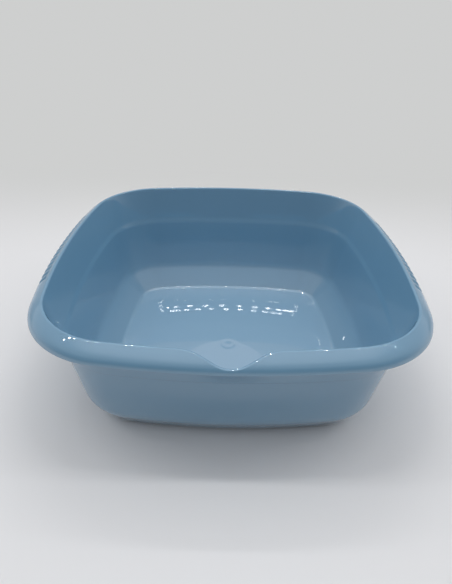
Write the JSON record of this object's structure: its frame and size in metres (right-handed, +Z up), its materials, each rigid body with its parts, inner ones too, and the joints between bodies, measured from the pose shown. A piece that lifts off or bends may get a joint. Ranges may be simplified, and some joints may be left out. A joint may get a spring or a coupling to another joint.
{
  "type": "washing up bowl",
  "caption": "Square moulded washing up bowl with bowed sides, round corners, a stepped wall, a slanted base band, a rolled rim with fluted side grips and a pouring lip",
  "frame": {"origin": "centre of the footprint, on the face that the bowl stands on", "axes": "+Z up out of the basin, -Y towards the pouring lip, +X to the right as seen from the lip"},
  "size_m": [0.32, 0.32, 0.117],
  "materials": {
    "bowl_plastic": "smooth glossy polypropylene, pale grey blue"
  },
  "bodies": {
    "root": {"floor_panel": "bowl_plastic", "base_band": "bowl_plastic", "lower_wall": "bowl_plastic", "upper_wall": "bowl_plastic", "rim_crown": "bowl_plastic", "rim_roll_front_left": "bowl_plastic", "rim_roll_front_right": "bowl_plastic", "rim_roll_back": "bowl_plastic", "pouring_lip": "bowl_plastic", "left_grip": "bowl_plastic", "right_grip": "bowl_plastic"}
  },
  "joints": []
}
